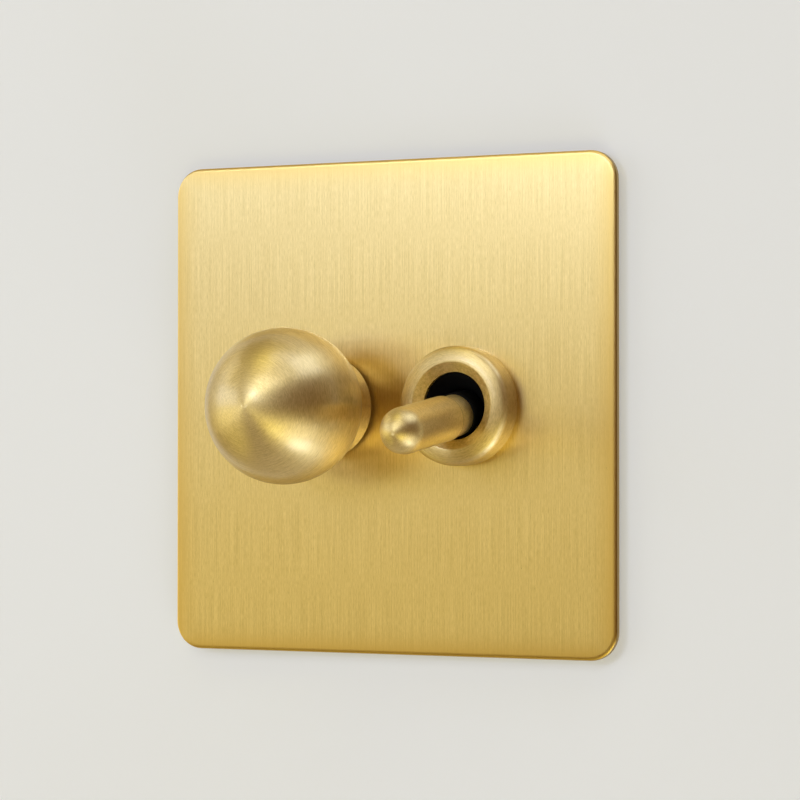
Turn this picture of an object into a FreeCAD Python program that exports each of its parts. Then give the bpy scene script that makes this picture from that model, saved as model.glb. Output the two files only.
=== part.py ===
import FreeCAD, Part
import math
import os

# Brass wall plate with a ball dimmer knob on the left and a dolly switch on the right.
# Millimetres. X runs right, Y runs into the wall and Z runs up. The wall's face is y = 0, and the
# origin is the middle of the plate's seat on the wall. The dolly rests tilted down.

# Front plate
PLATE_SIZE = 88.0
PLATE_THICK = 1.5
PLATE_CORNER = 5.0
PLATE_EDGE_ROLL = 0.7
KNOB_X = -11.7
TOGGLE_X = 14.9

# Gasket and dished mounting plate
SEAT_INSET = 3.0
SEAT_CORNER = 4.0
GASKET_THICK = 0.6
GASKET_BAND = 3.5
SHEET = 1.0
DISH_SIDE_GAP = 0.5
DISH_HEIGHT = 44.0
DISH_CORNER = 6.0
DISH_DEPTH = 2.4
BOX_SCREW_SPACING = 60.3
BOX_SLOT_WIDTH = 4.0
BOX_SLOT_LENGTH = 7.0

# Lock nuts in the dish and the nut behind the knob
LOCK_NUT_THICK = 2.0
TOGGLE_NUT_FLATS = 17.0
DIMMER_NUT_FLATS = 12.0
FRONT_NUT_THICK = 2.0

# Shared clearances
HOLE_CLEAR = 0.15
THREAD_CLEAR = 0.04
RUN_CLEAR = 0.05
SEAT_CLEAR = 0.03

# Toggle bush, ring nut and rubber boot
BUSH_R = 6.9
BUSH_BORE_R = 5.85
BUSH_REACH = 2.5
RING_R = 10.5
RING_SIDE = 2.8
RING_ROLL_R = 2.1
RING_ROLL_TURN = 112.0
RING_MOUTH_R = 5.95
RING_LIP = 0.7
BOOT_THICK = 0.5
BOOT_GRIP = 12.2

# Dolly and its lever, measured from the pivot
PIVOT_DEPTH = 8.5
TILT = 8.1
STEM_R = 3.7
SLEEVE_R = 4.05
SLEEVE_START = 16.4
SLEEVE_LENGTH = 19.3
SLEEVE_EDGE = 0.25
SPIGOT_R = 2.5
SPIGOT_LENGTH = 8.0
WAIST_R = 4.4
WAIST_HALF = 2.0
PIN_R = 1.25
TAIL_R = 2.5
TAIL_LENGTH = 7.0
TAIL_BORE_START = 2.3
PLUNGER_R = 1.6
PLUNGER_POINT_R = 0.6
PLUNGER_POINT = 1.2
PLUNGER_START = 4.6
PLUNGER_TIP = 9.7
SPRING_WIRE = 0.5
SPRING_TURNS = 2

# Toggle switch body
TOGGLE_WIDTH = 17.0
TOGGLE_HEIGHT = 30.0
TOGGLE_CORNER = 1.2
TOGGLE_CAP = 2.2
TOGGLE_DEPTH = 17.6
TOGGLE_SIDE_WALL = 1.5
TOGGLE_END_WALL = 3.6
TOGGLE_BASE = 2.0
PIN_INSET = 0.2

# Rocker and contacts
ROCKER_GAP = 0.3
ROCKER_THICK = 1.2
ROCKER_ROOM = 1.0
ROCKER_WIDTH = 6.0
ROCKER_BEND = 5.0
ROCK = 7.0
RIDGE_R = 0.8
RIDGE_NECK = 1.0
CONTACT_SIZE = 3.2
CONTACT_INSET = 0.2
CONTACT_THICK = 0.7
CONTACT_GAP = 0.2

# Wire terminals of both modules
POST_WIDTH = 5.0
POST_THICK = 3.4
CAGE_SIZE = 6.2
CAGE_DEPTH = 7.5
CAGE_MOUTH = 3.6
CAGE_FLOOR = 1.2
CLAMP_R = 1.25
CLAMP_BACKED_OFF = 0.2
CLAMP_PROUD = 1.0

# Dimmer knob and spindle
BALL_R = 13.75
BALL_REACH = 17.05
NECK_R = 9.15
NECK_GAP = 1.2
NECK_EDGE = 0.4
RECESS_R = 7.5
RECESS_ROOM = 0.4
PUSH = 0.8
SPINDLE_R = 3.0
SPINDLE_REACH = 14.5
SPINDLE_FLAT = 1.5
GRUB_R = 1.25
GRUB_HEIGHT = 5.35
GRUB_SUNK = 0.4

# Dimmer bush, pot and push switch, in order from front to back
DIMMER_BUSH_R = 4.5
DIMMER_BUSH_REACH = 2.6
POT_SIZE = 18.0
POT_WALL = 0.6
POT_FLANGE_INSET = 0.5
POT_FLANGE_THICK = 1.4
CLIP_SIZE = 9.0
CLIP_SLOT = 4.6
CLIP_THICK = 0.6
CLIP_GAP = 0.3
SHOULDER_AFTER_CLIP = 0.5
ROTOR_ROOM = 1.4
ROTOR_THICK = 2.0
ROTOR_GAP = 0.4
ROTOR_NIB = 1.0
ROTOR_NIB_WIDTH = 1.8
TANG_WIDTH = 3.2
TANG_HEIGHT = 4.2
WIPER_THICK = 0.3
WIPER_INSET = 0.6
WIPER_WIDTH = 4.0
WIPER_LENGTH = 3.0
WAFER_GAP = 0.3
WAFER_THICK = 1.6
STOP_LUG_WIDTH = 7.6
STOP_LUG = 1.0
SPINDLE_END_PAST_WAFER = 0.2
WINDOW_CLEAR = 0.3
SWITCH_GAP = 0.3
SWITCH_WIDTH = 13.0
SWITCH_HEIGHT = 9.0
SWITCH_DEPTH = 4.4
SWITCH_PLUNGER = 3.0
SWITCH_PLUNGER_LENGTH = 2.7
SWITCH_FLOOR = 0.2

# Dimmer housing and what lies on its circuit board
POT_ROOM = 1.2
DIMMER_CORNER = 1.5
DIMMER_FRONT = 2.0
DIMMER_WALL = 1.8
BOARD_LEDGE = 1.0
BOARD_THICK = 1.6
BOARD_CLEAR = 0.2
HOUSING_PAST_BOARD = 6.2
COVER_THICK = 1.6
COVER_LIP = 1.5
COVER_LIP_WALL = 1.2
COVER_CLEAR = 0.1
CHOKE_GAP = 0.5
CHOKE_ROOM = 0.3
CHOKE_R = 5.2
CHOKE_DEPTH = 6.0
CAPACITOR_HEIGHT = 8.5
CAPACITOR_DEPTH = 7.2
TRIAC_HEIGHT = 9.0
TRIAC_DEPTH = 4.4
SINK_THICK = 1.6
SINK_MARGIN = 0.3
COMPONENT_GAP = 1.4
COMPONENT_SPACE = 0.3
DIMMER_CAGE_X = 6.0
DIMMER_CAGE_INSET = 9.0

# Sizes that follow from others
SEAT_SIZE = PLATE_SIZE - 2 * SEAT_INSET
DISH_WIDTH = SEAT_SIZE - 2 * (GASKET_BAND + DISH_SIDE_GAP + SHEET)
ROCKER_HALF = TOGGLE_HEIGHT / 2 - TOGGLE_END_WALL - ROCKER_ROOM
CONTACT_REACH = ROCKER_HALF - CONTACT_INSET - CONTACT_SIZE / 2
POT_FLANGE = POT_SIZE - 2 * POT_FLANGE_INSET
ROTOR_R = POT_SIZE / 2 - POT_WALL - ROTOR_ROOM
WIPER_R = ROTOR_R - WIPER_INSET
CHOKE_Z = POT_SIZE / 2 + CHOKE_GAP + CHOKE_R
COMPONENT_X = (POT_SIZE / 2 + POT_ROOM) / 2
COMPONENT_WIDTH = 2 * (COMPONENT_X - SINK_MARGIN - COMPONENT_SPACE)
COMPONENT_Z = -(POT_SIZE / 2 + COMPONENT_GAP + SINK_MARGIN + TRIAC_HEIGHT / 2)
DIMMER_WIDTH = POT_SIZE + 2 * (POT_ROOM + BOARD_LEDGE + DIMMER_WALL)
DIMMER_HEIGHT = 2 * (CHOKE_Z + CHOKE_R + CHOKE_ROOM + BOARD_LEDGE + DIMMER_WALL)
DIMMER_CAGE_Z = DIMMER_CAGE_INSET - DIMMER_HEIGHT / 2

# Planes along Y, worked out from the stack
FLANGE_FRONT = -(GASKET_THICK + SHEET)
FACE_Y = FLANGE_FRONT - PLATE_THICK
FLOOR_FRONT = FLANGE_FRONT + DISH_DEPTH
MODULE_Y = FLOOR_FRONT + SHEET
PIVOT_Y = FACE_Y + PIVOT_DEPTH
ROCKER_Y = PIVOT_Y + PLUNGER_TIP + ROCKER_GAP + ROCKER_THICK
TOGGLE_CAP_Y = MODULE_Y + TOGGLE_CAP
TOGGLE_BACK = TOGGLE_CAP_Y + TOGGLE_DEPTH
FLANGE_Y = MODULE_Y + DIMMER_FRONT
CLIP_Y = FLANGE_Y + POT_FLANGE_THICK + CLIP_GAP
SHOULDER_Y = CLIP_Y + CLIP_THICK + SHOULDER_AFTER_CLIP
ROTOR_Y = SHOULDER_Y + PUSH + ROTOR_GAP
WIPER_Y = ROTOR_Y + ROTOR_THICK
WAFER_Y = WIPER_Y + WIPER_THICK + WAFER_GAP
SWITCH_Y = WAFER_Y + WAFER_THICK
SPINDLE_END = SWITCH_Y + SPINDLE_END_PAST_WAFER
SWITCH_PLUNGER_Y = SPINDLE_END + SWITCH_GAP
BOARD_Y = SWITCH_Y + SWITCH_DEPTH
BOARD_BACK = BOARD_Y + BOARD_THICK
HOUSING_BACK = BOARD_BACK + HOUSING_PAST_BOARD
COVER_BACK = HOUSING_BACK + COVER_THICK

Vec = FreeCAD.Vector
ALONG_X = Vec(1, 0, 0)
ALONG_Y = Vec(0, 1, 0)
ALONG_Z = Vec(0, 0, 1)


def ahead(height):
    """Y of a point this far in front of the plate's face."""
    return FACE_Y - height


def box(x_span, y_span, z_span):
    """Block between pairs of limits."""
    low = Vec(x_span[0], y_span[0], z_span[0])
    return Part.makeBox(x_span[1] - low.x, y_span[1] - low.y, z_span[1] - low.z, low)


def spread(middle, width):
    """Limits of a width centred on a value."""
    return middle - width / 2, middle + width / 2


def rod_y(radius, y_span, x=0.0, z=0.0):
    """Round bar along Y."""
    return Part.makeCylinder(radius, y_span[1] - y_span[0], Vec(x, y_span[0], z), ALONG_Y)


def rod_x(radius, x_span, y, z=0.0):
    """Round bar along X."""
    return Part.makeCylinder(radius, x_span[1] - x_span[0], Vec(x_span[0], y, z), ALONG_X)


def rod_z(radius, z_span, x, y):
    """Round bar along Z."""
    return Part.makeCylinder(radius, z_span[1] - z_span[0], Vec(x, y, z_span[0]), ALONG_Z)


def edges_along_y(block):
    """A block's four edges along Y."""
    return [edge for edge in block.Edges if abs(edge.tangentAt(edge.FirstParameter).y) > 0.5]


def slab(width, height, corner, y_span, x=0.0):
    """Plate across Y with round corners."""
    block = box(spread(x, width), y_span, spread(0.0, height))
    return block.makeFillet(corner, edges_along_y(block))


def cut_corner_slab(width, height, corner, y_span, x=0.0):
    """Plate across Y with corners cut at 45 degrees."""
    block = box(spread(x, width), y_span, spread(0.0, height))
    return block.makeChamfer(corner, edges_along_y(block))


def turned(steps, x, z=0.0):
    """Solid turned about a line along Y. A step is a point (r, y), or an arc's middle and end points."""
    def at(point):
        return Vec(x + point[0], point[1], z)

    edges = []
    here = steps[0]
    for step in steps[1:] + steps[:1]:
        if isinstance(step[0], tuple):
            edges.append(Part.Arc(at(here), at(step[0]), at(step[1])).toShape())
            here = step[1]
        else:
            edges.append(Part.LineSegment(at(here), at(step)).toShape())
            here = step
    face = Part.Face(Part.Wire(edges))
    return face.revolve(Vec(x, 0, z), ALONG_Y, 360)


def hex_nut(flats, bore, y_span, x):
    """Hexagon nut along Y with a corner pointing up."""
    corner = flats / 2 / math.cos(math.pi / 6)
    turns = [math.radians(60 * k) for k in range(7)]
    points = [Vec(x + corner * math.sin(t), y_span[0], corner * math.cos(t)) for t in turns]
    prism = Part.Face(Part.makePolygon(points)).extrude(ALONG_Y * (y_span[1] - y_span[0]))
    return prism.cut(rod_y(bore, y_span, x))


def slot_y(width, length, y_span, x):
    """Cutter for a slot across Y with round ends, long along X."""
    reach = (length - width) / 2
    cutter = box(spread(x, 2 * reach), y_span, spread(0.0, width))
    for side in (-reach, reach):
        cutter = cutter.fuse(rod_y(width / 2, y_span, x + side))
    return cutter.removeSplitter()


def tilted(shape):
    """Turn a straight-built dolly piece to the dolly's rest tilt."""
    leaning = shape.copy()
    leaning.rotate(Vec(TOGGLE_X, PIVOT_Y, 0), ALONG_X, TILT)
    return leaning


def front_plate():
    plate = slab(PLATE_SIZE, PLATE_SIZE, PLATE_CORNER, (FACE_Y, FLANGE_FRONT))
    rim = [edge for edge in plate.Edges if edge.BoundBox.YMax < FACE_Y + PLATE_THICK / 2]
    plate = plate.makeFillet(PLATE_EDGE_ROLL, rim)
    through = (FACE_Y, FLANGE_FRONT)
    plate = plate.cut(rod_y(BUSH_R + HOLE_CLEAR, through, TOGGLE_X))
    return plate.cut(rod_y(DIMMER_BUSH_R + HOLE_CLEAR, through, KNOB_X))


def wall_gasket():
    inside = SEAT_SIZE - 2 * GASKET_BAND
    span = (-GASKET_THICK, 0.0)
    hole = box(spread(0.0, inside), span, spread(0.0, inside))
    return cut_corner_slab(SEAT_SIZE, SEAT_SIZE, SEAT_CORNER, span).cut(hole)


def mounting_plate():
    flange = cut_corner_slab(SEAT_SIZE, SEAT_SIZE, SEAT_CORNER, (FLANGE_FRONT, -GASKET_THICK))
    outer_corner = DISH_CORNER + SHEET
    dish = slab(DISH_WIDTH + 2 * SHEET, DISH_HEIGHT + 2 * SHEET, outer_corner, (FLANGE_FRONT, MODULE_Y))
    hollow = slab(DISH_WIDTH, DISH_HEIGHT, DISH_CORNER, (FLANGE_FRONT, FLOOR_FRONT))
    plate = flange.fuse(dish).cut(hollow)
    floor = (FLOOR_FRONT, MODULE_Y)
    plate = plate.cut(rod_y(BUSH_R + HOLE_CLEAR, floor, TOGGLE_X))
    plate = plate.cut(rod_y(DIMMER_BUSH_R + HOLE_CLEAR, floor, KNOB_X))
    for side in spread(0.0, BOX_SCREW_SPACING):
        plate = plate.cut(slot_y(BOX_SLOT_WIDTH, BOX_SLOT_LENGTH, floor, side))
    return plate.removeSplitter()


def nut_span():
    """Limits along Y of a lock nut, which sits on the dish's floor."""
    return FLOOR_FRONT - LOCK_NUT_THICK, FLOOR_FRONT


def toggle_bush():
    back = TOGGLE_CAP_Y
    cap = cut_corner_slab(TOGGLE_WIDTH, TOGGLE_HEIGHT, TOGGLE_CORNER, (MODULE_Y, back), TOGGLE_X)
    whole = cap.fuse(rod_y(BUSH_R, (ahead(BUSH_REACH), back), TOGGLE_X))
    whole = whole.cut(rod_y(BUSH_BORE_R, (ahead(BUSH_REACH), back), TOGGLE_X))
    return whole.removeSplitter()


def toggle_ring():
    """Ring nut: straight side, rolled face and a cone that narrows to the mouth."""
    bore = BUSH_R + THREAD_CLEAR
    shelf = ahead(BUSH_REACH + BOOT_THICK)
    lip = shelf - RING_LIP
    roll_r = RING_R - RING_ROLL_R

    def on_roll(degrees):
        turn = math.radians(degrees)
        return roll_r + RING_ROLL_R * math.cos(turn), ahead(RING_SIDE + RING_ROLL_R * math.sin(turn))

    return turned([
        (bore, ahead(0)),
        (RING_R, ahead(0)),
        (RING_R, ahead(RING_SIDE)),
        (on_roll(RING_ROLL_TURN / 2), on_roll(RING_ROLL_TURN)),
        (RING_MOUTH_R, lip),
        (RING_MOUTH_R, shelf),
        (bore, shelf),
    ], TOGGLE_X)


def seal_boot():
    """Rubber seal: a flange clamped under the ring's lip, drawn up to a collar round the stem."""
    flange_y = (ahead(BUSH_REACH + BOOT_THICK), ahead(BUSH_REACH))
    flange = rod_y(BUSH_R - SEAT_CLEAR, flange_y, TOGGLE_X)
    rim = Part.Wire(Part.makeCircle(BUSH_BORE_R - SEAT_CLEAR, Vec(TOGGLE_X, flange_y[0], 0), ALONG_Y))
    grip_at = Vec(TOGGLE_X, PIVOT_Y - BOOT_GRIP, 0)
    grip = tilted(Part.Wire(Part.makeCircle(STEM_R + BOOT_THICK / 2, grip_at, ALONG_Y)))
    collar = Part.makeLoft([rim, grip], True, True)
    stem = tilted(rod_y(STEM_R + RUN_CLEAR, (PIVOT_Y - SLEEVE_START, PIVOT_Y), TOGGLE_X))
    return flange.fuse(collar).cut(stem).removeSplitter()


def dolly_lever():
    """Turned lever: spigot for the sleeve, stem, fat waist at the pivot and a bored tail."""
    shoulder = PIVOT_Y - SLEEVE_START
    tip = shoulder - SPIGOT_LENGTH
    end = PIVOT_Y + TAIL_LENGTH
    slope = WAIST_R - TAIL_R
    lever = turned([
        (0.0, end),
        (TAIL_R, end),
        (TAIL_R, PIVOT_Y + WAIST_HALF + slope),
        (WAIST_R, PIVOT_Y + WAIST_HALF),
        (WAIST_R, PIVOT_Y - WAIST_HALF),
        (STEM_R, PIVOT_Y - WAIST_HALF),
        (STEM_R, shoulder),
        (SPIGOT_R, shoulder),
        (SPIGOT_R, tip),
        (0.0, tip),
    ], TOGGLE_X)
    lever = lever.cut(rod_x(PIN_R + RUN_CLEAR, spread(TOGGLE_X, 2 * WAIST_R), PIVOT_Y))
    lever = lever.cut(rod_y(PLUNGER_R + RUN_CLEAR, (PIVOT_Y + TAIL_BORE_START, end), TOGGLE_X))
    return tilted(lever)


def dolly_sleeve():
    """Round-nosed sleeve screwed on the lever's spigot."""
    start = PIVOT_Y - SLEEVE_START
    nose = start - SLEEVE_LENGTH + SLEEVE_R
    bore = SPIGOT_R + SEAT_CLEAR
    bottom = start - SPIGOT_LENGTH - SLEEVE_EDGE
    slant = SLEEVE_R * math.sqrt(0.5)
    return tilted(turned([
        (bore, start),
        (SLEEVE_R - SLEEVE_EDGE, start),
        (SLEEVE_R, start - SLEEVE_EDGE),
        (SLEEVE_R, nose),
        ((slant, nose - slant), (0.0, nose - SLEEVE_R)),
        (0.0, bottom),
        (bore, bottom),
    ], TOGGLE_X))


def lever_plunger():
    """Blunt-nosed plunger that slides in the lever's tail."""
    start = PIVOT_Y + PLUNGER_START
    tip = PIVOT_Y + PLUNGER_TIP
    return tilted(turned([
        (0.0, start),
        (PLUNGER_R, start),
        (PLUNGER_R, tip - PLUNGER_POINT),
        (PLUNGER_POINT_R, tip),
        (0.0, tip),
    ], TOGGLE_X))


def plunger_spring():
    """Flat-wire coil spring between the bottom of the tail's bore and the plunger."""
    half = SPRING_WIRE / 2
    coil_r = PLUNGER_R - half
    start = PIVOT_Y + TAIL_BORE_START + half
    length = PLUNGER_START - TAIL_BORE_START - SPRING_WIRE
    path = Part.Wire(Part.makeHelix(length / SPRING_TURNS, length, coil_r))
    corners = [(-half, -half), (half, -half), (half, half), (-half, half), (-half, -half)]
    section = Part.makePolygon([Vec(coil_r + r, 0, along) for r, along in corners])
    spring = path.makePipeShell([section], True, True)
    spring.rotate(Vec(0, 0, 0), ALONG_X, -90)
    spring.translate(Vec(TOGGLE_X, start, 0))
    return tilted(spring)


def pivot_pin():
    return rod_x(PIN_R, spread(TOGGLE_X, TOGGLE_WIDTH - 2 * PIN_INSET), PIVOT_Y)


def terminal_heights():
    """Heights of the switched, common and switched terminals."""
    return -CONTACT_REACH, 0.0, CONTACT_REACH


def toggle_body():
    """Moulded box, open at the front, with seats for the pin and the terminals."""
    outside = cut_corner_slab(TOGGLE_WIDTH, TOGGLE_HEIGHT, TOGGLE_CORNER, (TOGGLE_CAP_Y, TOGGLE_BACK), TOGGLE_X)
    across = spread(TOGGLE_X, TOGGLE_WIDTH - 2 * TOGGLE_SIDE_WALL)
    upright = spread(0.0, TOGGLE_HEIGHT - 2 * TOGGLE_END_WALL)
    body = outside.cut(box(across, (TOGGLE_CAP_Y, TOGGLE_BACK - TOGGLE_BASE), upright))
    body = body.cut(rod_x(PIN_R + SEAT_CLEAR, spread(TOGGLE_X, TOGGLE_WIDTH), PIVOT_Y))
    base = (TOGGLE_BACK - TOGGLE_BASE, TOGGLE_BACK)
    for z in terminal_heights():
        width = POST_WIDTH + 2 * SEAT_CLEAR
        body = body.cut(box(spread(TOGGLE_X, width), base, spread(z, POST_THICK + 2 * SEAT_CLEAR)))
    return body


def terminal(x, z, inner_end, cage_y, mouth_along_x):
    """Brass post with a wire cage outside: a square mouth across it and a clamp screw's hole in its end."""
    cage_end = cage_y + CAGE_DEPTH
    mouth = (cage_y + CAGE_FLOOR, cage_y + CAGE_FLOOR + CAGE_MOUTH)
    post = box(spread(x, POST_WIDTH), (inner_end, cage_y), spread(z, POST_THICK))
    cage = box(spread(x, CAGE_SIZE), (cage_y, cage_end), spread(z, CAGE_SIZE))
    if mouth_along_x:
        opening = box(spread(x, CAGE_SIZE), mouth, spread(z, CAGE_MOUTH))
    else:
        opening = box(spread(x, CAGE_MOUTH), mouth, spread(z, CAGE_SIZE))
    tapped = rod_y(CLAMP_R + THREAD_CLEAR, (mouth[1], cage_end), x, z)
    return post.fuse(cage).cut(opening).cut(tapped).removeSplitter()


def clamp_screw(x, z, cage_y):
    """Headless clamp screw, backed off so that the cage's mouth is free."""
    tip = cage_y + CAGE_FLOOR + CAGE_MOUTH + CLAMP_BACKED_OFF
    return rod_y(CLAMP_R, (tip, cage_y + CAGE_DEPTH + CLAMP_PROUD), x, z)


def common_terminal():
    """Middle terminal, with the round ridge that the rocker tips on."""
    neck_end = ROCKER_Y + RIDGE_NECK
    post = terminal(TOGGLE_X, 0.0, neck_end, TOGGLE_BACK, True)
    neck = box(spread(TOGGLE_X, POST_WIDTH), (ROCKER_Y, neck_end), spread(0.0, RIDGE_R))
    ridge = rod_x(RIDGE_R, spread(TOGGLE_X, POST_WIDTH), ROCKER_Y)
    return post.fuse(neck).fuse(ridge).removeSplitter()


def fixed_contact_y():
    """Front of the fixed contacts: a hair behind the moving contact that is pressed back."""
    lean = math.radians(ROCK - ROCKER_BEND)
    pressed = CONTACT_THICK * math.cos(lean) + (CONTACT_REACH + CONTACT_SIZE / 2) * math.sin(lean)
    return ROCKER_Y + pressed + CONTACT_GAP


def contact(front, z):
    """Square silver contact."""
    across = spread(TOGGLE_X, CONTACT_SIZE)
    return box(across, (front, front + CONTACT_THICK), spread(z, CONTACT_SIZE))


def fixed_contacts():
    front = fixed_contact_y()
    return Part.makeCompound([contact(front, z) for z in (-CONTACT_REACH, CONTACT_REACH)])


def switched_terminals():
    inner_end = fixed_contact_y() + CONTACT_THICK
    heights = (-CONTACT_REACH, CONTACT_REACH)
    return Part.makeCompound([terminal(TOGGLE_X, z, inner_end, TOGGLE_BACK, True) for z in heights])


def toggle_terminal_screws():
    return Part.makeCompound([clamp_screw(TOGGLE_X, z, TOGGLE_BACK) for z in terminal_heights()])


def rocked(shape, degrees):
    """Tip a level-built rocker piece about its ridge."""
    tipped = shape.copy()
    tipped.rotate(Vec(TOGGLE_X, ROCKER_Y, 0), ALONG_X, degrees)
    return tipped


def rocker_arm():
    """Strip bent to a shallow chevron, grooved behind for the ridge."""
    rise = ROCKER_HALF * math.tan(math.radians(ROCKER_BEND))
    chevron = [
        (-ROCKER_THICK, 0.0),
        (-ROCKER_THICK - rise, ROCKER_HALF),
        (-rise, ROCKER_HALF),
        (0.0, 0.0),
        (-rise, -ROCKER_HALF),
        (-ROCKER_THICK - rise, -ROCKER_HALF),
    ]
    left = TOGGLE_X - ROCKER_WIDTH / 2
    points = [Vec(left, ROCKER_Y + y, z) for y, z in chevron + chevron[:1]]
    strip = Part.Face(Part.makePolygon(points)).extrude(ALONG_X * ROCKER_WIDTH)
    groove = rod_x(RIDGE_R + RUN_CLEAR, spread(TOGGLE_X, ROCKER_WIDTH), ROCKER_Y)
    return rocked(strip.cut(groove), -ROCK)


def rocker_contacts():
    tips = []
    for side in (-1, 1):
        tip = contact(ROCKER_Y, side * CONTACT_REACH)
        tips.append(rocked(tip, side * ROCKER_BEND - ROCK))
    return Part.makeCompound(tips)


def d_bar(radius, flat, y_span):
    """Round bar on the knob's axis with a flat on its lower side."""
    bar = rod_y(radius, y_span, KNOB_X)
    return bar.cut(box(spread(KNOB_X, 2 * radius), y_span, (-2 * radius, -flat)))


def knob_recess_height():
    """Height of the floor of the knob's recess, which clears the bush when pushed in."""
    return DIMMER_BUSH_REACH + PUSH + RECESS_ROOM


def dimmer_knob():
    """Ball and neck turned as one, hollowed behind for the nut and bored for the spindle."""
    neck_top = BALL_REACH - math.sqrt(BALL_R ** 2 - NECK_R ** 2)
    knob = turned([
        (0.0, ahead(NECK_GAP)),
        (NECK_R - NECK_EDGE, ahead(NECK_GAP)),
        (NECK_R, ahead(NECK_GAP + NECK_EDGE)),
        (NECK_R, ahead(neck_top)),
        ((BALL_R, ahead(BALL_REACH)), (0.0, ahead(BALL_REACH + BALL_R))),
    ], KNOB_X)
    floor = ahead(knob_recess_height())
    knob = knob.cut(rod_y(RECESS_R, (floor, ahead(NECK_GAP)), KNOB_X))
    bore_end = ahead(SPINDLE_REACH + RECESS_ROOM)
    knob = knob.cut(d_bar(SPINDLE_R + SEAT_CLEAR, SPINDLE_FLAT + SEAT_CLEAR, (bore_end, floor)))
    return knob.cut(rod_z(GRUB_R + THREAD_CLEAR, (-NECK_R, 0.0), KNOB_X, ahead(GRUB_HEIGHT)))


def knob_grub_screw():
    return rod_z(GRUB_R, (GRUB_SUNK - NECK_R, -SPINDLE_FLAT - SEAT_CLEAR), KNOB_X, ahead(GRUB_HEIGHT))


def clip_slots(y_span, reach):
    """The two side blocks between which the spindle's waist for the clip is left."""
    return [box(across, y_span, spread(0.0, 2 * reach)) for across in (
        (KNOB_X - reach, KNOB_X - CLIP_SLOT / 2),
        (KNOB_X + CLIP_SLOT / 2, KNOB_X + reach),
    )]


def dimmer_spindle():
    """Spindle: flat at the knob, round in the bush, slotted for the clip, with a tang for the rotor."""
    flat_end = ahead(knob_recess_height())
    round_part = rod_y(SPINDLE_R, (flat_end, SHOULDER_Y), KNOB_X)
    tang = box(spread(KNOB_X, TANG_WIDTH), (SHOULDER_Y, SPINDLE_END), spread(0.0, TANG_HEIGHT))
    spindle = round_part.fuse(d_bar(SPINDLE_R, SPINDLE_FLAT, (ahead(SPINDLE_REACH), flat_end))).fuse(tang)
    for slot in clip_slots((CLIP_Y, CLIP_Y + CLIP_THICK), SPINDLE_R):
        spindle = spindle.cut(slot)
    return spindle.removeSplitter()


def spindle_clip():
    """Horseshoe clip in the spindle's slots, which stops the spindle pulling out of the bush."""
    span = (CLIP_Y + SEAT_CLEAR, CLIP_Y + CLIP_THICK - SEAT_CLEAR)
    plate = box(spread(KNOB_X, CLIP_SIZE), span, spread(0.0, CLIP_SIZE))
    waist = CLIP_SLOT + 2 * SEAT_CLEAR
    return plate.cut(box(spread(KNOB_X, waist), span, (-SPINDLE_R - SEAT_CLEAR, CLIP_SIZE)))


def dimmer_bush():
    """Cast bush with a square flange behind the housing's front wall."""
    flange_back = FLANGE_Y + POT_FLANGE_THICK
    flange = box(spread(KNOB_X, POT_FLANGE), (FLANGE_Y, flange_back), spread(0.0, POT_FLANGE))
    tube = rod_y(DIMMER_BUSH_R, (ahead(DIMMER_BUSH_REACH), flange_back), KNOB_X)
    bore = rod_y(SPINDLE_R + RUN_CLEAR, (ahead(DIMMER_BUSH_REACH), flange_back), KNOB_X)
    return flange.fuse(tube).cut(bore).removeSplitter()


def pot_case():
    """Square can round the rotor, with a stop lug at the bottom that ends the rotor's turn."""
    span = (FLANGE_Y + POT_FLANGE_THICK, WAFER_Y)
    inside = POT_SIZE - 2 * POT_WALL
    can = box(spread(KNOB_X, POT_SIZE), span, spread(0.0, POT_SIZE))
    can = can.cut(box(spread(KNOB_X, inside), span, spread(0.0, inside)))
    low = -inside / 2
    lug = box(spread(KNOB_X, STOP_LUG_WIDTH), (ROTOR_Y, WIPER_Y), (low, low + STOP_LUG))
    return can.fuse(lug).removeSplitter()


def wiper_rotor():
    """Disc that the spindle's tang turns and slides in, with a nib that meets the stop lug."""
    span = (ROTOR_Y, WIPER_Y)
    disc = rod_y(ROTOR_R, span, KNOB_X)
    nib = box(spread(KNOB_X, ROTOR_NIB_WIDTH), span, (0.0, ROTOR_R + ROTOR_NIB))
    across = spread(KNOB_X, TANG_WIDTH + 2 * RUN_CLEAR)
    hole = box(across, span, spread(0.0, TANG_HEIGHT + 2 * RUN_CLEAR))
    return disc.fuse(nib).cut(hole).removeSplitter()


def wiper_contact():
    """Springy strip on the back of the rotor that sweeps the track."""
    across = spread(KNOB_X, WIPER_WIDTH)
    return box(across, (WIPER_Y, WIPER_Y + WIPER_THICK), (WIPER_R - WIPER_LENGTH, WIPER_R))


def spindle_window(y_span):
    """Cutter for the square hole that the end of the spindle turns and moves in."""
    side = math.hypot(TANG_WIDTH, TANG_HEIGHT) + 2 * WINDOW_CLEAR
    return box(spread(KNOB_X, side), y_span, spread(0.0, side))


def track_wafer():
    """Board with the resistance track, holed for the end of the spindle."""
    span = (WAFER_Y, SWITCH_Y)
    return box(spread(KNOB_X, POT_SIZE), span, spread(0.0, POT_SIZE)).cut(spindle_window(span))


def push_switch():
    """Body of the latching push switch between the wafer and the circuit board."""
    body = box(spread(KNOB_X, SWITCH_WIDTH), (SWITCH_Y, BOARD_Y), spread(0.0, SWITCH_HEIGHT))
    body = body.cut(spindle_window((SWITCH_Y, SPINDLE_END + PUSH + SWITCH_GAP)))
    shaft = spread(0.0, SWITCH_PLUNGER + 2 * RUN_CLEAR)
    across = spread(KNOB_X, SWITCH_PLUNGER + 2 * RUN_CLEAR)
    return body.cut(box(across, (SWITCH_Y, BOARD_Y - SWITCH_FLOOR), shaft))


def switch_plunger():
    along = (SWITCH_PLUNGER_Y, SWITCH_PLUNGER_Y + SWITCH_PLUNGER_LENGTH)
    return box(spread(KNOB_X, SWITCH_PLUNGER), along, spread(0.0, SWITCH_PLUNGER))


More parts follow.
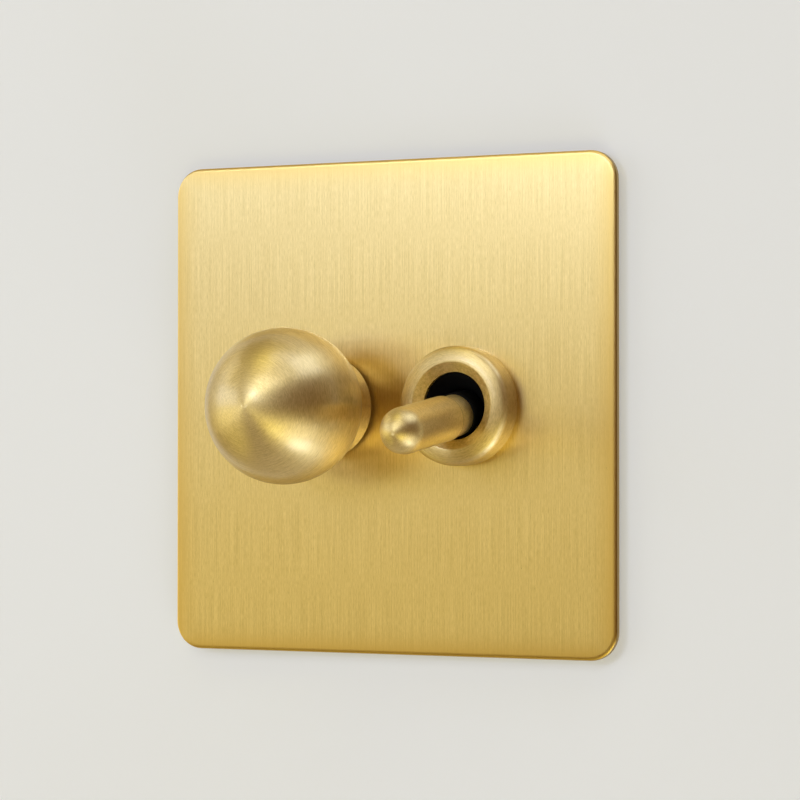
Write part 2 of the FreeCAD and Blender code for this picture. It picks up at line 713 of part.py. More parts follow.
def board_cavity():
    """Width and height of the housing's cavity behind the board's ledge."""
    return DIMMER_WIDTH - 2 * DIMMER_WALL, DIMMER_HEIGHT - 2 * DIMMER_WALL


def dimmer_housing():
    """Moulded box, open at the back, with a ledge that the circuit board sits on."""
    housing = cut_corner_slab(DIMMER_WIDTH, DIMMER_HEIGHT, DIMMER_CORNER, (MODULE_Y, HOUSING_BACK), KNOB_X)
    width, height = board_cavity()
    behind = box(spread(KNOB_X, width), (BOARD_Y, HOUSING_BACK), spread(0.0, height))
    inner_width = width - 2 * BOARD_LEDGE
    inner_height = height - 2 * BOARD_LEDGE
    before = box(spread(KNOB_X, inner_width), (FLANGE_Y, BOARD_Y), spread(0.0, inner_height))
    hole = rod_y(DIMMER_BUSH_R + SEAT_CLEAR, (MODULE_Y, FLANGE_Y), KNOB_X)
    return housing.cut(behind).cut(before).cut(hole)


def dimmer_cage_places():
    """X of the two dimmer terminals."""
    return KNOB_X - DIMMER_CAGE_X, KNOB_X + DIMMER_CAGE_X


def dimmer_rear_cover():
    """Cap with a lip that fits in the housing, open where the terminal posts come through."""
    cover = cut_corner_slab(DIMMER_WIDTH, DIMMER_HEIGHT, DIMMER_CORNER, (HOUSING_BACK, COVER_BACK), KNOB_X)
    width, height = (size - 2 * COVER_CLEAR for size in board_cavity())
    span = (HOUSING_BACK - COVER_LIP, HOUSING_BACK)
    lip = box(spread(KNOB_X, width), span, spread(0.0, height))
    inner = box(spread(KNOB_X, width - 2 * COVER_LIP_WALL), span, spread(0.0, height - 2 * COVER_LIP_WALL))
    cover = cover.fuse(lip.cut(inner)).removeSplitter()
    for x in dimmer_cage_places():
        post = (spread(x, POST_WIDTH + 2 * SEAT_CLEAR), spread(DIMMER_CAGE_Z, POST_THICK + 2 * SEAT_CLEAR))
        cover = cover.cut(box(post[0], (HOUSING_BACK, COVER_BACK), post[1]))
    return cover


def circuit_board():
    width, height = (size - 2 * BOARD_CLEAR for size in board_cavity())
    return box(spread(KNOB_X, width), (BOARD_Y, BOARD_BACK), spread(0.0, height))


def choke():
    """Sleeved drum choke that stands on the board above the pot."""
    return rod_y(CHOKE_R, (BOARD_Y - CHOKE_DEPTH, BOARD_Y), KNOB_X, CHOKE_Z)


def on_board(height, depth, side):
    """Block that stands on the front of the board below the pot, left (-1) or right (1) of the middle."""
    x = KNOB_X + side * COMPONENT_X
    return box(spread(x, COMPONENT_WIDTH), (BOARD_Y - depth, BOARD_Y), spread(COMPONENT_Z, height))


def film_capacitor():
    return on_board(CAPACITOR_HEIGHT, CAPACITOR_DEPTH, 1)


def triac():
    return on_board(TRIAC_HEIGHT, TRIAC_DEPTH, -1)


def heat_sink():
    """Aluminium plate on the face of the triac."""
    back = BOARD_Y - TRIAC_DEPTH
    across = spread(KNOB_X - COMPONENT_X, COMPONENT_WIDTH + 2 * SINK_MARGIN)
    return box(across, (back - SINK_THICK, back), spread(COMPONENT_Z, TRIAC_HEIGHT + 2 * SINK_MARGIN))


def dimmer_terminals():
    places = dimmer_cage_places()
    return Part.makeCompound([terminal(x, DIMMER_CAGE_Z, BOARD_BACK, COVER_BACK, False) for x in places])


def dimmer_terminal_screws():
    return Part.makeCompound([clamp_screw(x, DIMMER_CAGE_Z, COVER_BACK) for x in dimmer_cage_places()])


def toggle_lock_nut():
    return hex_nut(TOGGLE_NUT_FLATS, BUSH_R + THREAD_CLEAR, nut_span(), TOGGLE_X)


def dimmer_lock_nut():
    return hex_nut(DIMMER_NUT_FLATS, DIMMER_BUSH_R + THREAD_CLEAR, nut_span(), KNOB_X)


def dimmer_front_nut():
    span = (ahead(FRONT_NUT_THICK), ahead(0))
    return hex_nut(DIMMER_NUT_FLATS, DIMMER_BUSH_R + THREAD_CLEAR, span, KNOB_X)


PIECES = [
    front_plate, wall_gasket, mounting_plate,
    toggle_bush, toggle_lock_nut, toggle_ring, seal_boot,
    toggle_body, pivot_pin,
    dolly_lever, dolly_sleeve, lever_plunger, plunger_spring,
    rocker_arm, rocker_contacts, fixed_contacts,
    common_terminal, switched_terminals, toggle_terminal_screws,
    dimmer_bush, dimmer_lock_nut, dimmer_front_nut,
    dimmer_knob, knob_grub_screw, dimmer_spindle, spindle_clip,
    pot_case, wiper_rotor, wiper_contact, track_wafer,
    push_switch, switch_plunger,
    dimmer_housing, dimmer_rear_cover, circuit_board,
    choke, film_capacitor, triac, heat_sink,
    dimmer_terminals, dimmer_terminal_screws,
]

os.makedirs("parts", exist_ok=True)
for piece in PIECES:
    piece().exportStep(f"parts/{piece.__name__}.step")
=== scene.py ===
import math

import bmesh
import bpy
from mathutils import Matrix, Vector


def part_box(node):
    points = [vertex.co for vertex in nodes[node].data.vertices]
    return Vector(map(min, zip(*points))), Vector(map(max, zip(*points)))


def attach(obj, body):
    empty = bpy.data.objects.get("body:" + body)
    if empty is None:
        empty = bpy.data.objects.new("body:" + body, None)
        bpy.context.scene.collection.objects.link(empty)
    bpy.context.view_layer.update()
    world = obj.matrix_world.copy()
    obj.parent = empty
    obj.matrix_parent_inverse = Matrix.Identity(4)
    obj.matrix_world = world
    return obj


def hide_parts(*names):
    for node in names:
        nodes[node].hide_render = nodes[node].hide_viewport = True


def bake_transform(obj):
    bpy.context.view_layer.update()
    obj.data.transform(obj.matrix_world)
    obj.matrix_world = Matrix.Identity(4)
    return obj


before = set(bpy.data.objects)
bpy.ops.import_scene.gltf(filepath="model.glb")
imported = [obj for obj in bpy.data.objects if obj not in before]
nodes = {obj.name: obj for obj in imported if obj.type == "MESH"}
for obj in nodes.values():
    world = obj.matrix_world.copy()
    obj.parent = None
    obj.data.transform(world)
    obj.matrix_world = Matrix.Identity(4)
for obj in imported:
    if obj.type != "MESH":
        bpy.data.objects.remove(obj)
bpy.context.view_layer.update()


# Wall gasket
# A thin frame of black foam rubber between the mounting plate and the wall. It is stamped from sheet
# and glued under the plate's rim, and its cut cells show as a fine pitted grain.
FOAM_DEEP = (0.010, 0.010, 0.011, 1.0)
FOAM_PALE = (0.036, 0.036, 0.038, 1.0)
FOAM_CELLS = 3200.0
FAINT_GRAIN = 0.4
TONE_GRAIN = 0.45
WEAR_RAGGED = 0.16
WEAR_SHOWN = 0.7
ROUGH_SWING = 0.07
COLOUR_A, COLOUR_B, COLOUR_RESULT = 6, 7, 2


def feed(tree, socket, value):
    """Links a socket to another one's output, or sets its own value."""
    if isinstance(value, bpy.types.NodeSocket):
        tree.links.new(value, socket)
    else:
        socket.default_value = value


def add(tree, kind, *values, setting=None, **inputs):
    """Adds a shader node. Values go in by order, and inputs by name."""
    made = tree.nodes.new("ShaderNode" + kind)
    for name, value in (setting or {}).items():
        setattr(made, name, value)
    for place, value in enumerate(values):
        feed(tree, made.inputs[place], value)
    for name, value in inputs.items():
        feed(tree, made.inputs[name.replace("_", " ")], value)
    return made


def work(tree, operation, *values):
    """A Math node's result."""
    return add(tree, "Math", *values, setting={"operation": operation}).outputs[0]


def vector_work(tree, operation, *values):
    """A Vector Math node, whose outputs are a vector and a value."""
    return add(tree, "VectorMath", *values, setting={"operation": operation})


def between(tree, share, deep, pale):
    """A colour between two, by share."""
    mix = add(tree, "Mix", share, setting={"data_type": "RGBA"})
    feed(tree, mix.inputs[COLOUR_A], deep)
    feed(tree, mix.inputs[COLOUR_B], pale)
    return mix.outputs[COLOUR_RESULT]


def new_material(name):
    """An empty material: itself, its node tree and its output node."""
    material = bpy.data.materials.new(name)
    material.use_nodes = True
    material.node_tree.nodes.clear()
    return material, material.node_tree, material.node_tree.nodes.new("ShaderNodeOutputMaterial")


def new_group(name, inputs, outputs):
    """An empty shader group with named sockets: itself, its inner inputs and its inner outputs."""
    group = bpy.data.node_groups.new(name, "ShaderNodeTree")
    for direction, sockets in (("INPUT", inputs), ("OUTPUT", outputs)):
        for socket, kind in sockets.items():
            group.interface.new_socket(socket, in_out=direction, socket_type="NodeSocket" + kind)
    return group, group.nodes.new("NodeGroupInput").outputs, group.nodes.new("NodeGroupOutput").inputs


def surface_marks():
    """Group: slow clouds, a fine grain, the worn edges, and a normal that rounds the edges off."""
    group, given, result = new_group(
        "surface_marks", {"Vector": "Vector", "Cloud": "Float", "Grain": "Float", "Edge": "Float"},
        {"Cloud": "Float", "Grain": "Float", "Worn": "Float", "Normal": "Vector"})
    cloud = add(group, "TexNoise", Vector=given["Vector"], Scale=given["Cloud"], Detail=4.0, Roughness=0.55)
    grain = add(group, "TexNoise", Vector=given["Vector"], Scale=given["Grain"], Detail=3.0, Roughness=0.6)
    rounded = add(group, "Bevel", Radius=given["Edge"], setting={"samples": 6}).outputs[0]
    flat = add(group, "NewGeometry").outputs["Normal"]
    lean = vector_work(group, "DOT_PRODUCT", rounded, flat).outputs["Value"]
    ragged = work(group, "MULTIPLY_ADD", grain.outputs[0], WEAR_RAGGED, lean)
    worn = add(group, "MapRange", Value=ragged, From_Min=1.06, From_Max=0.93)
    feed(group, result["Cloud"], cloud.outputs[0])
    feed(group, result["Grain"], grain.outputs[0])
    feed(group, result["Worn"], worn.outputs[0])
    feed(group, result["Normal"], rounded)
    return group


SURFACE_MARKS = surface_marks()


def finish(name, deep, pale, worn, roughness, metallic=0.0, cloud=110.0, grain=2600.0, relief=0.00001,
           edge=0.00018, gloss=0.5, height=None):
    """A finish in two tones that drift in clouds, with a fine grain in relief and worn edges."""
    material, tree, output = new_material(name)
    place = add(tree, "TexCoord").outputs["Object"]
    marks = add(tree, "Group", setting={"node_tree": SURFACE_MARKS}, Vector=place, Cloud=cloud, Grain=grain,
                Edge=edge).outputs
    mixed = work(tree, "MULTIPLY_ADD", marks["Grain"], TONE_GRAIN, marks["Cloud"])
    tone = add(tree, "MapRange", Value=mixed, From_Min=0.5, From_Max=0.95).outputs[0]
    wear = work(tree, "MULTIPLY", marks["Worn"], WEAR_SHOWN)
    colour = between(tree, wear, between(tree, tone, deep, pale), worn)
    rough = add(tree, "MapRange", Value=marks["Grain"], From_Min=0.25, From_Max=0.75,
                To_Min=roughness - ROUGH_SWING, To_Max=roughness + ROUGH_SWING).outputs[0]
    raised = marks["Grain"] if height is None else height(tree, place, marks["Grain"])
    bump = add(tree, "Bump", Strength=0.6, Distance=relief, Height=raised, Normal=marks["Normal"])
    shader = add(tree, "BsdfPrincipled", Base_Color=colour, Metallic=metallic, Roughness=rough,
                 Normal=bump.outputs[0], Specular_IOR_Level=gloss)
    feed(tree, output.inputs["Surface"], shader.outputs[0])
    return material


def dress(material, *names):
    """Gives CAD nodes a material."""
    for name in names:
        nodes[name].data.materials.clear()
        nodes[name].data.materials.append(material)


def cut_cells(tree, place, grain):
    """The height of foam cells with a faint grain on them."""
    cells = add(tree, "TexVoronoi", Vector=place, Scale=FOAM_CELLS).outputs["Distance"]
    return work(tree, "MULTIPLY_ADD", grain, FAINT_GRAIN, cells)


foam = finish("foam_rubber", FOAM_DEEP, FOAM_PALE, FOAM_PALE, roughness=0.86, relief=0.00006,
              height=cut_cells)
dress(foam, "wall_gasket")


# Mounting plate and small steel parts
# The dished plate is pressed from sheet steel and zinc plated, which leaves a dull bluish skin with
# straw-coloured clouds. The pin, spring, clip, screws and the can of the pot have the same plating.
ZINC_BLUE = (0.50, 0.53, 0.56, 1.0)
ZINC_STRAW = (0.66, 0.64, 0.57, 1.0)
ZINC_BARE = (0.80, 0.80, 0.79, 1.0)
ROLL_LINES = (160.0, 160.0, 3600.0)
ROLL_DEEP = 0.8


def rolled_sheet(tree, place, grain):
    """The height of the lines that a mill leaves on sheet, with the grain on them."""
    along = vector_work(tree, "MULTIPLY", place, ROLL_LINES).outputs[0]
    lines = add(tree, "TexNoise", Vector=along, Scale=1.0).outputs[0]
    return work(tree, "MULTIPLY_ADD", lines, ROLL_DEEP, grain)


zinc_sheet = finish("zinc_sheet", ZINC_BLUE, ZINC_STRAW, ZINC_BARE, roughness=0.42, metallic=1.0, cloud=60.0,
                    relief=0.000008, edge=0.0003, height=rolled_sheet)
dress(zinc_sheet, "mounting_plate", "pot_case")
zinc_parts = finish("zinc_parts", ZINC_BLUE, ZINC_STRAW, ZINC_BARE, roughness=0.36, metallic=1.0, cloud=300.0,
                    grain=5200.0, edge=0.00012)
dress(zinc_parts, "pivot_pin", "plunger_spring", "spindle_clip", "knob_grub_screw", "toggle_terminal_screws",
      "dimmer_terminal_screws")


# Clamp screws
# Small slotted screws of plated steel at the back, which pinch the wires in the terminals. They are left
# as an electrician leaves them, each slot turned another way.
CLAMP_R = 0.00125
CLAMP_RIM = 0.00018
CLAMP_SIDES = 40
SLOT_HALF = 0.00024
SLOT_DEEP = 0.00055
TOGGLE_TURNS = (24.0, 98.0, -38.0)
DIMMER_TURNS = (64.0, 8.0)
X, Y, Z = 0, 1, 2
SAME_PLACE = 1e-6
CUT_SNAP = 1e-7
ROUND_STEPS = 3


def lies_at(edge, axis, level):
    """Whether both ends of an edge lie at one level along an axis."""
    return all(abs(vertex.co[axis] - level) < SAME_PLACE for vertex in edge.verts)


def round_edges(mesh, edges, radius):
    """Takes the sharpness off some edges."""
    bmesh.ops.bevel(mesh, geom=edges, offset=radius, offset_type="OFFSET", affect="EDGES",
                    segments=ROUND_STEPS, profile=0.5, material=-1)


def new_piece(name, mesh, material):
    """An object made of a finished mesh."""
    data = bpy.data.meshes.new(name)
    mesh.to_mesh(data)
    mesh.free()
    data.materials.append(material)
    piece = bpy.data.objects.new(name, data)
    bpy.context.scene.collection.objects.link(piece)
    return piece


def slotted_screw(length, place):
    """A screw along +Z with its head at 0, moved into place."""
    screw = bmesh.new()
    bmesh.ops.create_cone(screw, cap_ends=True, segments=CLAMP_SIDES, radius1=CLAMP_R, radius2=CLAMP_R,
                          depth=length, matrix=Matrix.Translation((0.0, 0.0, -length / 2)))
    round_edges(screw, [edge for edge in screw.edges if lies_at(edge, Z, 0.0)], CLAMP_RIM)
    across, along = (1.0, 0.0, 0.0), (0.0, 0.0, 1.0)
    slot_planes = [((SLOT_HALF, 0.0, 0.0), across), ((-SLOT_HALF, 0.0, 0.0), across),
                   ((0.0, 0.0, -SLOT_DEEP), along)]
    for point, normal in slot_planes:
        bmesh.ops.bisect_plane(screw, geom=screw.verts[:] + screw.edges[:] + screw.faces[:], dist=CUT_SNAP,
                               plane_co=point, plane_no=normal)
    inside = [face for face in screw.faces if abs(face.calc_center_median().x) < SLOT_HALF
              and face.calc_center_median().z > -SLOT_DEEP]
    bmesh.ops.delete(screw, geom=inside, context="FACES")
    rims = [edge for edge in screw.edges if edge.is_boundary]
    floor_edges = [edge for edge in rims if lies_at(edge, Z, -SLOT_DEEP)]
    corners = list(dict.fromkeys(vertex for edge in floor_edges for vertex in edge.verts))
    for side in (-SLOT_HALF, SLOT_HALF):
        ends = [vertex for vertex in corners if abs(vertex.co.x - side) < SAME_PLACE]
        foot = bmesh.ops.contextual_create(screw, geom=ends)["edges"]
        wall_edges = [edge for edge in rims if lies_at(edge, X, side)]
        bmesh.ops.contextual_create(screw, geom=wall_edges + foot)
        floor_edges += foot
    bmesh.ops.contextual_create(screw, geom=floor_edges)
    bmesh.ops.recalc_face_normals(screw, faces=screw.faces)
    bmesh.ops.transform(screw, matrix=place, verts=screw.verts)
    return screw


def clamp_screws(name, node, turns):
    """One row of screws in the place of a CAD node, with the turn of each slot in degrees."""
    low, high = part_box(node)
    first = Vector((low.x + CLAMP_R, high.y, low.z + CLAMP_R))
    last = Vector((high.x - CLAMP_R, high.y, high.z - CLAMP_R))
    row = bmesh.new()
    carrier = bpy.data.meshes.new("carrier")
    for step, degrees in enumerate(turns):
        head = first.lerp(last, step / (len(turns) - 1))
        place = (Matrix.Translation(head) @ Matrix.Rotation(-math.pi / 2, 4, "X")
                 @ Matrix.Rotation(math.radians(degrees), 4, "Z"))
        screw = slotted_screw(high.y - low.y, place)
        screw.to_mesh(carrier)
        screw.free()
        row.from_mesh(carrier)
    bpy.data.meshes.remove(carrier)
    piece = new_piece(name, row, zinc_parts)
    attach(piece, "plate")
    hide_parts(node)


clamp_screws("toggle_clamp_screws", "toggle_terminal_screws", TOGGLE_TURNS)
clamp_screws("dimmer_clamp_screws", "dimmer_terminal_screws", DIMMER_TURNS)


# Switch body and dimmer case
# Both are moulded from black plastic in tools with a spark-eroded skin, so they are matt with a fine
# tooth. The triac and the sleeve of the choke are black mouldings too.
MOULDED_DEEP = (0.011, 0.011, 0.012, 1.0)
MOULDED_PALE = (0.027, 0.027, 0.029, 1.0)
MOULDED_EDGE = (0.060, 0.060, 0.064, 1.0)
moulded = finish("moulded_black", MOULDED_DEEP, MOULDED_PALE, MOULDED_EDGE, roughness=0.50, cloud=45.0,
                 grain=4200.0, relief=0.00002, edge=0.00035)
dress(moulded, "toggle_body", "dimmer_housing", "dimmer_rear_cover", "triac", "choke")


# Brass inside the switch
# The bush, nuts, rocker, wiper and terminals are cut from brass bar and strip and left bare, so they
# have dulled unevenly and are bright only along their edges.
STRIP_DULL = (0.46, 0.31, 0.12, 1.0)
STRIP_BRIGHT = (0.74, 0.56, 0.25, 1.0)
STRIP_EDGE = (0.86, 0.70, 0.38, 1.0)
strip_brass = finish("strip_brass", STRIP_DULL, STRIP_BRIGHT, STRIP_EDGE, roughness=0.34, metallic=1.0,
                     cloud=170.0, grain=3800.0, edge=0.0002)
dress(strip_brass, "toggle_bush", "toggle_lock_nut", "dimmer_lock_nut", "dimmer_front_nut", "rocker_arm",
      "lever_plunger", "wiper_contact", "common_terminal", "switched_terminals", "dimmer_terminals")


# Silver contacts
# Small squares of silver welded to the rocker and to the terminals, where the rocker closes the circuit.
# Arcing has darkened them a little.
SILVER_DARK = (0.52, 0.50, 0.46, 1.0)
SILVER_CLEAN = (0.84, 0.83, 0.80, 1.0)
silver = finish("contact_silver", SILVER_DARK, SILVER_CLEAN, SILVER_CLEAN, roughness=0.30, metallic=1.0,
                cloud=700.0, grain=6000.0, edge=0.00012)
dress(silver, "rocker_contacts", "fixed_contacts")


# Cast parts of the dimmer
# The bush and spindle are die-cast in zinc alloy, with the grey, slightly grainy skin of the die. The
# heat sink is a plate of aluminium.
CAST_DEEP = (0.36, 0.36, 0.37, 1.0)
CAST_PALE = (0.56, 0.56, 0.56, 1.0)
CAST_EDGE = (0.74, 0.74, 0.73, 1.0)
cast_metal = finish("cast_metal", CAST_DEEP, CAST_PALE, CAST_EDGE, roughness=0.46, metallic=1.0, cloud=220.0,
                    grain=3000.0, relief=0.000015)
dress(cast_metal, "dimmer_bush", "dimmer_spindle", "heat_sink")


# White parts of the dimmer
# The rotor, the push switch and its plunger are moulded from natural nylon, which is a warm white and
# slightly waxy.
NYLON_DEEP = (0.58, 0.55, 0.47, 1.0)
NYLON_PALE = (0.72, 0.70, 0.63, 1.0)
NYLON_EDGE = (0.78, 0.77, 0.72, 1.0)
nylon = finish("natural_nylon", NYLON_DEEP, NYLON_PALE, NYLON_EDGE, roughness=0.44, cloud=140.0, grain=3000.0)
dress(nylon, "wiper_rotor", "push_switch", "switch_plunger")


# Board and wafer
# Both are cut from brown resin-bonded paper board, whose pressed sheets leave a faint weave. The board
# sits on a ledge in the dimmer case, and the wafer carries the track of the pot.
BOARD_DEEP = (0.20, 0.105, 0.035, 1.0)
BOARD_PALE = (0.36, 0.215, 0.080, 1.0)
BOARD_EDGE = (0.46, 0.32, 0.16, 1.0)
WEAVE = 1500.0


def pressed_weave(tree, place, grain):
    """The height of a weave with a faint grain on it."""
    warp = add(tree, "TexWave", Vector=place, Scale=WEAVE, setting={"bands_direction": "X"}).outputs[1]
    weft = add(tree, "TexWave", Vector=place, Scale=WEAVE, setting={"bands_direction": "Z"}).outputs[1]
    return work(tree, "MULTIPLY_ADD", grain, FAINT_GRAIN, work(tree, "MULTIPLY", warp, weft))


resin_board = finish("resin_board", BOARD_DEEP, BOARD_PALE, BOARD_EDGE, roughness=0.40, cloud=160.0,
                     height=pressed_weave)
dress(resin_board, "circuit_board", "track_wafer")


# Film capacitor
# A wound block dipped in red epoxy, which dries glossy with a soft ripple and rounds its edges. It is
# soldered to the board by its two wires.
DIPPED_DEEP = (0.24, 0.020, 0.012, 1.0)
DIPPED_PALE = (0.36, 0.036, 0.022, 1.0)
DIPPED_EDGE = (0.44, 0.070, 0.045, 1.0)
dipped_epoxy = finish("dipped_epoxy", DIPPED_DEEP, DIPPED_PALE, DIPPED_EDGE, roughness=0.22, cloud=200.0,
                      grain=900.0, relief=0.00004, edge=0.0006)
dress(dipped_epoxy, "film_capacitor")


# Front plate
# A square of brass sheet with round corners and a rolled edge. Its face is brushed from top to bottom
# and lacquered. The ring nut and the nut behind the knob hold it on, so no screw shows.
BRASS_PALE = (0.90, 0.705, 0.290, 1.0)
BRASS_DEEP = (0.68, 0.505, 0.175, 1.0)
BRASS_EDGE = (0.74, 0.500, 0.130, 1.0)
# The deep brown below is painted shade for the plate's side walls.
PAINTED_SIDE_SHADE = (0.36, 0.235, 0.070, 1.0)
PLATE_LINES = (15000.0, 1.0, 800.0)
LONG_LINES = (0.5, 0.5, 0.08)
BRUSH_RELIEF = 0.00002
BRUSH_SWING = 0.05
PLATE_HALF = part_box("front_plate")[1].x
EDGE_FALL = 0.006
EDGE_CURVE = 2.0
EDGE_TILT = 0.022
EDGE_SHARP = 4.0


def brush_marks():
    """Group: short fine marks and longer ones, across the first axis of a vector given in marks."""
    group, given, result = new_group("brush_marks", {"Vector": "Vector"}, {"Short": "Float", "Long": "Float"})
    short = add(group, "TexNoise", Vector=given["Vector"], Scale=1.0, Detail=2.0, Roughness=0.7)
    stretched = vector_work(group, "MULTIPLY", given["Vector"], LONG_LINES).outputs[0]
    long = add(group, "TexNoise", Vector=stretched, Scale=1.0, Detail=3.0, Roughness=0.7)
    feed(group, result["Short"], short.outputs[0])
    feed(group, result["Long"], long.outputs[0])
    return group


BRUSH_MARKS = brush_marks()


def brass_shader(tree, marks, tangent, roughness, anisotropy, normal=None, shades=()):
    """Brass whose tone, roughness and surface follow brush marks. A shade is a mask and a deeper colour
    painted over the brass; the plate's side walls and the dolly's joint use them as painted shade.
    """
    brushed = add(tree, "Group", setting={"node_tree": BRUSH_MARKS}, Vector=marks).outputs
    tone = work(tree, "ADD", brushed["Short"], brushed["Long"])
    share = add(tree, "MapRange", Value=tone, From_Min=0.80, From_Max=1.20).outputs[0]
    rough = add(tree, "MapRange", Value=brushed["Short"], From_Min=0.25, From_Max=0.75,
                To_Min=roughness - BRUSH_SWING, To_Max=roughness + BRUSH_SWING).outputs[0]
    bump = add(tree, "Bump", Strength=0.1, Distance=BRUSH_RELIEF, Height=tone)
    if normal is not None:
        feed(tree, bump.inputs["Normal"], normal)
    colour = between(tree, share, BRASS_DEEP, BRASS_PALE)
    for mask, deeper in shades:
        colour = between(tree, mask, colour, deeper)
    return add(tree, "BsdfPrincipled", Base_Color=colour, Metallic=1.0, Roughness=rough,
               Normal=bump.outputs[0], Tangent=tangent, Anisotropic=anisotropy)


def near_edge(tree, reach):
    """How near a point is to the plate's edge along one axis, from 0 to 1."""
    near = add(tree, "MapRange", Value=work(tree, "ABSOLUTE", reach), From_Min=PLATE_HALF - EDGE_FALL,
               From_Max=PLATE_HALF).outputs[0]
    return work(tree, "POWER", near, EDGE_CURVE)


plate_brass, tree, output = new_material("plate_brass")
place = add(tree, "TexCoord").outputs["Object"]
marks = vector_work(tree, "MULTIPLY", place, PLATE_LINES).outputs[0]
across = add(tree, "CombineXYZ", X=1.0).outputs[0]
reach = add(tree, "SeparateXYZ", place).outputs
beside, above = near_edge(tree, reach["X"]), near_edge(tree, reach["Z"])
outwards = [work(tree, "MULTIPLY", near, work(tree, "MULTIPLY", work(tree, "SIGN", reach[axis]), EDGE_TILT))
            for near, axis in ((beside, "X"), (above, "Z"))]
lean = add(tree, "CombineXYZ", X=outwards[0], Z=outwards[1]).outputs[0]
facing = add(tree, "NewGeometry").outputs["Normal"]
flatter = vector_work(tree, "MULTIPLY", facing, (1.0 / EDGE_SHARP, 1.0, 1.0 / EDGE_SHARP)).outputs[0]
leaning = vector_work(tree, "NORMALIZE", vector_work(tree, "ADD", flatter, lean).outputs[0]).outputs[0]
# Painted shade: faces that turn sideways, the plate's side walls, get a deep brown that stands in for their
# shadow and dark reflection.
level = work(tree, "ABSOLUTE", add(tree, "SeparateXYZ", facing).outputs["Y"])
side = add(tree, "MapRange", Value=level, From_Min=0.5, From_Max=0.15).outputs[0]
# The brass turns a deeper orange over the last 6 mm towards the plate's edges.
rim = work(tree, "MAXIMUM", beside, above)
shader = brass_shader(tree, marks, across, roughness=0.32, anisotropy=0.76, normal=leaning,
                      shades=[(rim, BRASS_EDGE), (side, PAINTED_SIDE_SHADE)])
feed(tree, output.inputs["Surface"], shader.outputs[0])
dress(plate_brass, "front_plate")


# Knob
# A ball turned from brass bar on a lathe and rubbed with abrasive cloth while it turns, so its marks run
# round it. A grub screw in its neck holds it on the spindle.
STRAIGHT_OUT = Vector((0.0, -1.0, 0.0))
TURN_LINES = 9000.0
ARC_LENGTH = 14.0
QUARTER_TURN = 0.25
GLOSSY_LACQUER = (0.5, 0.20)
# The dark line at a joint is painted shade in the step between two turned parts.
JOINT_HALF = 0.00038
JOINT_CORE = 0.7
PAINTED_JOINT_SHADE = (0.10, 0.060, 0.016, 1.0)


def middle(node):
    """The middle of a CAD node's box."""
    low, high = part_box(node)
    return (low + high) / 2


def turned_brass(name, point, axis, roughness, anisotropy, lacquer, joint=None):
    """Brass turned about an axis through a point, with marks that run round it.

    The lacquer is a weight and a roughness. A joint shows as a dark line at that height along the axis, which
    is painted shade in the step where one part ends.
    """
    material, tree, output = new_material(name)
    place = add(tree, "TexCoord").outputs["Object"]
    offset = vector_work(tree, "SUBTRACT", place, point).outputs[0]
    around = vector_work(tree, "CROSS_PRODUCT", axis, offset).outputs[0]
    radius = vector_work(tree, "LENGTH", around).outputs["Value"]
    height = vector_work(tree, "DOT_PRODUCT", axis, offset).outputs["Value"]
    steps = work(tree, "MULTIPLY", work(tree, "SUBTRACT", radius, height), TURN_LINES)
    heading = vector_work(tree, "NORMALIZE", around).outputs[0]
    arcs = add(tree, "VectorMath", heading, setting={"operation": "SCALE"}, Scale=ARC_LENGTH).outputs[0]
    parts = add(tree, "SeparateXYZ", arcs).outputs
    marks = add(tree, "CombineXYZ", X=steps, Y=parts["X"], Z=parts["Z"]).outputs[0]
    tangent = add(tree, "VectorTransform", around, setting={
        "vector_type": "VECTOR", "convert_from": "OBJECT", "convert_to": "WORLD"}).outputs[0]
    shades = []
    if joint is not None:
        # Painted shade: a dark line round the axis at the joint's height.
        apart = work(tree, "ABSOLUTE", work(tree, "SUBTRACT", height, joint))
        line = add(tree, "MapRange", Value=apart, From_Min=JOINT_HALF, From_Max=JOINT_HALF * JOINT_CORE)
        shades.append((line.outputs[0], PAINTED_JOINT_SHADE))
    shader = brass_shader(tree, marks, tangent, roughness, anisotropy, shades=shades)
    weight, dullness = lacquer
    shader.inputs["Anisotropic Rotation"].default_value = QUARTER_TURN
    shader.inputs["Coat Weight"].default_value = weight
    shader.inputs["Coat Roughness"].default_value = dullness
    feed(tree, output.inputs["Surface"], shader.outputs[0])
    return material


knob_brass = turned_brass("knob_brass", middle("dimmer_knob"), STRAIGHT_OUT, roughness=0.44, anisotropy=0.66,
                          lacquer=GLOSSY_LACQUER)
dress(knob_brass, "dimmer_knob")


# Ring nut
# A nut turned from brass bar: a straight side, a round shoulder, a slightly domed face with a crisp inner
# edge, and a cone down to the mouth. It screws on the bush and clamps the rubber boot under its lip.
RING_LOW, RING_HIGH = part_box("toggle_ring")
RING_AXIS = middle("toggle_ring")
RING_R = RING_HIGH.x - RING_AXIS.x
RING_FRONT = RING_HIGH.y - RING_LOW.y
RING_FACE_R = 0.00765
RING_BORE_R = 0.00695
RING_MOUTH_R = 0.00595
LIP_BACK, LIP_FRONT = 0.0030, 0.0037
DOME_R = 0.0057
DOME_TURN = math.radians(20.0)
SHOULDER_R = (RING_R - RING_FACE_R - DOME_R * math.sin(DOME_TURN)) / (1.0 - math.sin(DOME_TURN))
DOME_FALL = DOME_R - (DOME_R - SHOULDER_R) * math.cos(DOME_TURN)
EDGE_ROUND = 0.00012
DOME_STEPS, SHOULDER_STEPS, RING_STEPS = 8, 14, 144
SMOOTH_BELOW = math.radians(35.0)
ring_brass = turned_brass("ring_brass", RING_AXIS, STRAIGHT_OUT, roughness=0.46, anisotropy=0.60,
                          lacquer=GLOSSY_LACQUER)


def on_ring(radius, height):
    """A point of the ring's outline, by its radius and its height above the plate."""
    return Vector((RING_AXIS.x + radius, RING_HIGH.y - height, RING_AXIS.z))


